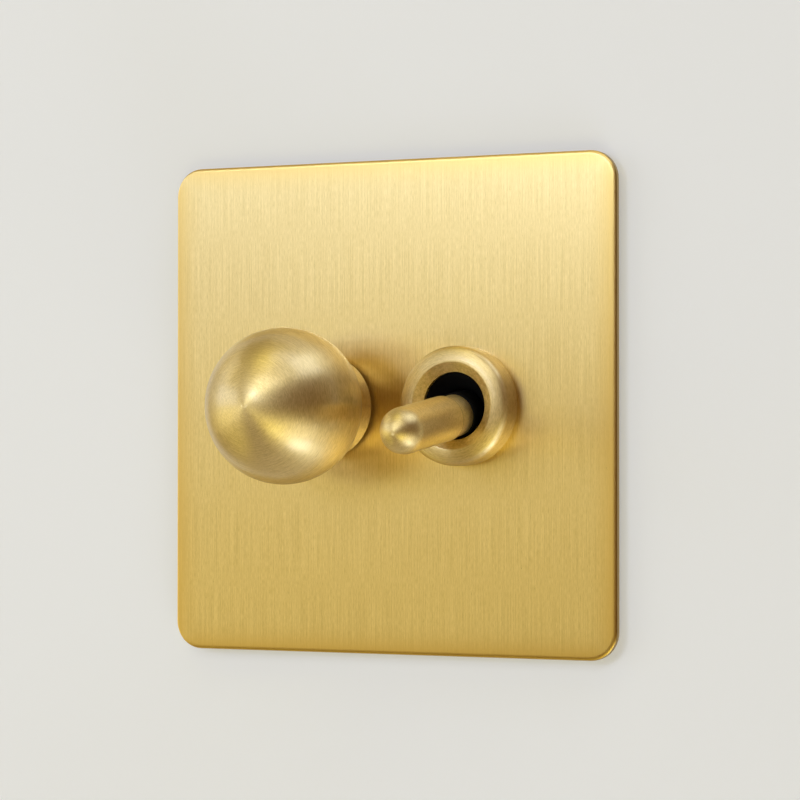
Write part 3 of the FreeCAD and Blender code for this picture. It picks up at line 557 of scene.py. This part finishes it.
mesh = bmesh.new()
edge_point = mesh.verts.new(on_ring(RING_FACE_R, RING_FRONT))
domed = bmesh.ops.spin(mesh, geom=[edge_point], cent=on_ring(RING_FACE_R, RING_FRONT - DOME_R),
                       axis=(0.0, 0.0, 1.0), angle=DOME_TURN, steps=DOME_STEPS)
rounded = bmesh.ops.spin(mesh, geom=domed["geom_last"],
                         cent=on_ring(RING_R - SHOULDER_R, RING_FRONT - DOME_FALL),
                         axis=(0.0, 0.0, 1.0), angle=math.pi / 2 - DOME_TURN, steps=SHOULDER_STEPS)
last = rounded["geom_last"][0]
for radius, height in ((RING_R, 0.0), (RING_BORE_R, 0.0), (RING_BORE_R, LIP_BACK), (RING_MOUTH_R, LIP_BACK),
                       (RING_MOUTH_R, LIP_FRONT)):
    last = bmesh.ops.extrude_vert_indiv(mesh, verts=[last])["verts"][0]
    last.co = on_ring(radius, height)
bmesh.ops.contextual_create(mesh, geom=[last, edge_point])
bmesh.ops.spin(mesh, geom=mesh.verts[:] + mesh.edges[:], cent=RING_AXIS, axis=(0.0, 1.0, 0.0),
               angle=2 * math.pi, steps=RING_STEPS, use_merge=True)
round_edges(mesh, [edge for edge in mesh.edges if lies_at(edge, Y, RING_LOW.y)], EDGE_ROUND)
bmesh.ops.recalc_face_normals(mesh, faces=mesh.faces)
for face in mesh.faces:
    face.smooth = True
for edge in mesh.edges:
    edge.smooth = edge.calc_face_angle(0.0) < SMOOTH_BELOW
ring_nut = new_piece("ring_nut", mesh, ring_brass)
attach(ring_nut, "plate")
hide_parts("toggle_ring")
dress(ring_brass, "toggle_ring")


# Dolly
# A round-nosed sleeve screwed on a turned lever, which shows as a slightly thinner stem behind it. Both
# are turned brass with a satin finish, and at rest they point down.
PIVOT = middle("pivot_pin")
DOLLY_TILT = math.radians(8.1)
DOLLY_AXIS = Vector((0.0, -math.cos(DOLLY_TILT), -math.sin(DOLLY_TILT)))
# A dark line is painted where the sleeve ends, as painted shade in the step down to the stem.
SLEEVE_START = 0.0164
DULL_LACQUER = (0.2, 0.42)
dolly_brass = turned_brass("dolly_brass", PIVOT, DOLLY_AXIS, roughness=0.44, anisotropy=0.42,
                           lacquer=DULL_LACQUER, joint=SLEEVE_START)
dress(dolly_brass, "dolly_sleeve", "dolly_lever")


# Rubber boot
# A moulded seal of black rubber: a flange clamped under the ring's lip, a funnel that drops into the bush
# and leans over to the lever's line, and a collar that grips the lever's stem.
BOOT_SIDES = 64
BOOT_STEPS = 5
BOOT_FLANGE_R = 0.00687
BOOT_MOUTH_R = 0.00580
BOOT_WALL = 0.0004
BOOT_RAISE = 0.0005
BOOT_FRONT = PIVOT.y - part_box("seal_boot")[1].y + BOOT_RAISE
BOOT_ROOT = 0.0078
COLLAR_R = 0.00398
COLLAR_END = 0.0122
COLLAR_LIP = BOOT_WALL / 2
STEM_R = 0.00372
RUBBER_DEEP = (0.0015, 0.0015, 0.0016, 1.0)
RUBBER_PALE = (0.0040, 0.0040, 0.0043, 1.0)
rubber = finish("boot_rubber", RUBBER_DEEP, RUBBER_PALE, RUBBER_PALE, roughness=0.78, cloud=300.0,
                grain=5200.0, gloss=0.12)
dress(rubber, "seal_boot")


def rings_about_pivot(name, steps, closed):
    """Rubber drawn through rings round the lever's line.

    A step is a radius, a reach from the pivot and a share of the tilt.
    """
    mesh = bmesh.new()
    rings = []
    for radius, reach, share in steps:
        place = (Matrix.Translation(PIVOT) @ Matrix.Rotation(share * DOLLY_TILT, 4, "X")
                 @ Matrix.Translation((0.0, -reach, 0.0)) @ Matrix.Rotation(math.pi / 2, 4, "X"))
        circle = bmesh.ops.create_circle(mesh, segments=BOOT_SIDES, radius=radius, matrix=place)["verts"]
        rings.append(list(dict.fromkeys(edge for vertex in circle for edge in vertex.link_edges)))
    pairs = list(zip(rings, rings[1:])) + ([(rings[-1], rings[0])] if closed else [])
    for first, second in pairs:
        bmesh.ops.bridge_loops(mesh, edges=first + second)
    bmesh.ops.recalc_face_normals(mesh, faces=mesh.faces)
    for face in mesh.faces:
        face.smooth = True
    return new_piece(name, mesh, rubber)


def eased(share):
    """A share that starts and ends slowly."""
    return share * share * (3 - 2 * share)


funnel_steps = [(BOOT_FLANGE_R, BOOT_FRONT, 0.0)]
for step in range(BOOT_STEPS + 1):
    share = step / BOOT_STEPS
    radius = BOOT_MOUTH_R + (COLLAR_R - BOOT_MOUTH_R) * share
    funnel_steps.append((radius, BOOT_FRONT - (BOOT_FRONT - BOOT_ROOT) * share, eased(share)))
funnel = rings_about_pivot("boot_funnel", funnel_steps, False)
wall = funnel.modifiers.new("wall", "SOLIDIFY")
wall.thickness = BOOT_WALL
wall.offset = -1.0
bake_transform(funnel)
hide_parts("seal_boot")

collar = rings_about_pivot("boot_collar", [
    (STEM_R, BOOT_ROOT, 1.0), (COLLAR_R, BOOT_ROOT, 1.0), (COLLAR_R, COLLAR_END - COLLAR_LIP, 1.0),
    (COLLAR_R - COLLAR_LIP / 2, COLLAR_END - COLLAR_LIP / 4, 1.0), (STEM_R, COLLAR_END, 1.0)], True)
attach(collar, "dolly")
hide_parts("seal_boot")


# Stage
# The part hangs on a pale board a little larger than the picture, with more wall round it that only the
# camera sees, above a pale floor. The wall shows from the front only, so that the back can be looked at.
WALL_PAINT = (0.900, 0.880, 0.850, 1.0)
WALL_GLOW = (0.890, 0.960, 0.960, 1.0)
WALL_SEEN = (0.745, 0.730, 0.701, 1.0)
GLOW_SHARE = 0.30
WALL_LEFT, WALL_RIGHT = -0.092, 0.084
WALL_HALF_HEIGHT = 0.084
BEYOND_HALF = 0.26
BEYOND_BACK = 0.0004
FLOOR_HALF = 2.0
FLOOR_Z = -1.2


def stage_plane(name, corners, material):
    """A plane of the stage. It faces the side from which its corners run anticlockwise."""
    mesh = bmesh.new()
    mesh.faces.new([mesh.verts.new(corner) for corner in corners])
    plane = new_piece(name, mesh, material)
    return plane


def upright(left, right, half_height, back):
    """The corners of a plane that faces the front."""
    return [(left, back, -half_height), (right, back, -half_height), (right, back, half_height),
            (left, back, half_height)]


wall_paint, tree, output = new_material("wall_paint")
paint = add(tree, "BsdfDiffuse", Color=WALL_PAINT)
glow = add(tree, "Emission", Color=WALL_GLOW, Strength=1.0)
lit = add(tree, "MixShader", GLOW_SHARE, paint.outputs[0], glow.outputs[0])
rays = add(tree, "LightPath").outputs
shown = work(tree, "MAXIMUM", rays["Is Camera Ray"], rays["Is Glossy Ray"])
seen = add(tree, "MixShader", shown, paint.outputs[0], lit.outputs[0])
clear = add(tree, "BsdfTransparent")
behind = add(tree, "NewGeometry").outputs["Backfacing"]
sided = add(tree, "MixShader", behind, seen.outputs[0], clear.outputs[0])
feed(tree, output.inputs["Surface"], sided.outputs[0])
stage_plane("wall", upright(WALL_LEFT, WALL_RIGHT, WALL_HALF_HEIGHT, 0.0), wall_paint)
beyond = stage_plane("wall_beyond", upright(-BEYOND_HALF, BEYOND_HALF, BEYOND_HALF, BEYOND_BACK), wall_paint)
beyond.visible_diffuse = False
beyond.visible_glossy = False
beyond.visible_shadow = False

floor_paint, tree, output = new_material("floor_paint")
paint = add(tree, "BsdfDiffuse", Color=WALL_PAINT)
glow = add(tree, "Emission", Color=WALL_SEEN, Strength=1.0)
shown = add(tree, "LightPath").outputs["Is Camera Ray"]
seen = add(tree, "MixShader", shown, paint.outputs[0], glow.outputs[0])
feed(tree, output.inputs["Surface"], seen.outputs[0])
stage_plane("floor", [(-FLOOR_HALF, -FLOOR_HALF, FLOOR_Z), (FLOOR_HALF, -FLOOR_HALF, FLOOR_Z),
                      (FLOOR_HALF, FLOOR_HALF, FLOOR_Z), (-FLOOR_HALF, FLOOR_HALF, FLOOR_Z)], floor_paint)


# Light
# Two small lamps stand at the front left in front of a soft box. More boxes and cards stand round the
# front, and the right side is left dark. Four plain boxes behind the wall light the back of the part.
WHITE = (1.0, 1.0, 1.0)
PLAIN = (0.97, 1.0, 1.0)
COOL = (0.86, 1.0, 1.45)
MILD = (1.02, 1.0, 0.62)
WARM = (1.06, 1.0, 0.28)
ROOM_COLOUR = (0.120, 0.050, 0.008, 1.0)


def towards(azimuth, elevation):
    """The direction at an azimuth and an elevation in degrees. Azimuth runs from the front to the right."""
    swing, lift = math.radians(azimuth), math.radians(elevation)
    return Vector((math.sin(swing) * math.cos(lift), -math.cos(swing) * math.cos(lift), math.sin(lift)))


def stand(holder, spot, direction):
    """Stands a lamp or the camera at a spot, looking back along a direction."""
    bpy.context.scene.collection.objects.link(holder)
    holder.location = spot
    holder.rotation_mode = "QUATERNION"
    holder.rotation_quaternion = (-direction).to_track_quat("-Z", "Y")


def soft_box(name, azimuth, elevation, width, height, brightness, tint):
    """A box at 1 m that faces the part, with its sizes in metres. A brightness of 1 looks white."""
    lamp = bpy.data.lights.new(name, "AREA")
    lamp.shape = "RECTANGLE"
    lamp.size = width
    lamp.size_y = height
    lamp.energy = math.pi * width * height * brightness
    lamp.color = tint
    holder = bpy.data.objects.new(name, lamp)
    holder.visible_camera = False
    direction = towards(azimuth, elevation)
    stand(holder, direction, direction)


soft_box("key_lamp", -18.0, 15.5, 0.13, 0.13, 13.8, COOL)
soft_box("near_lamp", -12.0, 10.0, 0.13, 0.13, 5.40, COOL)
soft_box("key_box", -18.0, 15.0, 0.60, 0.36, 0.86, COOL)
soft_box("front_card", -20.0, -2.0, 0.36, 0.26, 1.00, MILD)
soft_box("left_box", -62.0, 9.5, 0.75, 0.33, 1.66, COOL)
soft_box("left_low_box", -62.0, -9.5, 0.75, 0.33, 1.36, MILD)
soft_box("left_high_card", -55.0, 42.0, 0.65, 0.70, 0.28, WARM)
soft_box("far_left_box", -82.0, 32.0, 0.40, 0.40, 1.25, PLAIN)
soft_box("over_card", -22.0, 60.0, 0.45, 0.35, 1.45, WARM)
soft_box("front_high_box", 3.0, 33.0, 0.60, 0.24, 2.75, PLAIN)
soft_box("top_box", 30.0, 74.0, 0.60, 0.30, 1.35, COOL)
soft_box("right_side_box", 82.0, 56.0, 0.60, 0.50, 2.15, COOL)
soft_box("low_left_card", -60.0, -36.0, 0.60, 0.50, 0.50, WARM)
soft_box("low_strip", 30.0, -20.5, 1.10, 0.17, 0.55, MILD)
soft_box("low_front_card", 14.0, -35.0, 0.36, 0.30, 2.85, WARM)
soft_box("low_right_card", 62.0, -35.0, 0.75, 0.30, 1.75, PLAIN)
soft_box("deep_right_box", 66.0, -57.0, 0.50, 0.30, 4.00, COOL)
soft_box("back_left_box", -140.0, 20.0, 0.80, 0.80, 1.10, WHITE)
soft_box("back_right_box", 140.0, 20.0, 0.80, 0.80, 1.10, WHITE)
soft_box("back_high_box", 180.0, 55.0, 0.80, 0.80, 1.10, WHITE)
soft_box("back_low_box", 180.0, -40.0, 0.80, 0.80, 0.90, WHITE)

world = bpy.data.worlds.new("studio")
world.use_nodes = True
tree = world.node_tree
tree.nodes.clear()
studio = add(tree, "Background", Color=ROOM_COLOUR, Strength=1.0)
seen = add(tree, "Background", Color=WALL_SEEN, Strength=1.0)
camera_ray = add(tree, "LightPath").outputs["Is Camera Ray"]
sky = add(tree, "MixShader", camera_ray, studio.outputs[0], seen.outputs[0])
feed(tree, add(tree, "OutputWorld").inputs["Surface"], sky.outputs[0])
bpy.context.scene.world = world


# Camera
# The photograph looks from the front right and a little below, with a long lens. The angles, the distance
# and the lens were solved from the plate's corners, the ball's circle and the ring's rim.
CAMERA_TARGET = Vector((0.000802, 0.0, 0.001241))
CAMERA_AZIMUTH = 27.35
CAMERA_ELEVATION = -1.05
CAMERA_DISTANCE = 0.55794
CAMERA_LENS = 140.6
CAMERA_SENSOR = 36.0
eye = bpy.data.objects.new("camera", bpy.data.cameras.new("camera"))
eye.data.lens = CAMERA_LENS
eye.data.sensor_width = CAMERA_SENSOR
direction = towards(CAMERA_AZIMUTH, CAMERA_ELEVATION)
stand(eye, CAMERA_TARGET + direction * CAMERA_DISTANCE, direction)
bpy.context.scene.camera = eye
bpy.context.scene.view_settings.view_transform = "Standard"
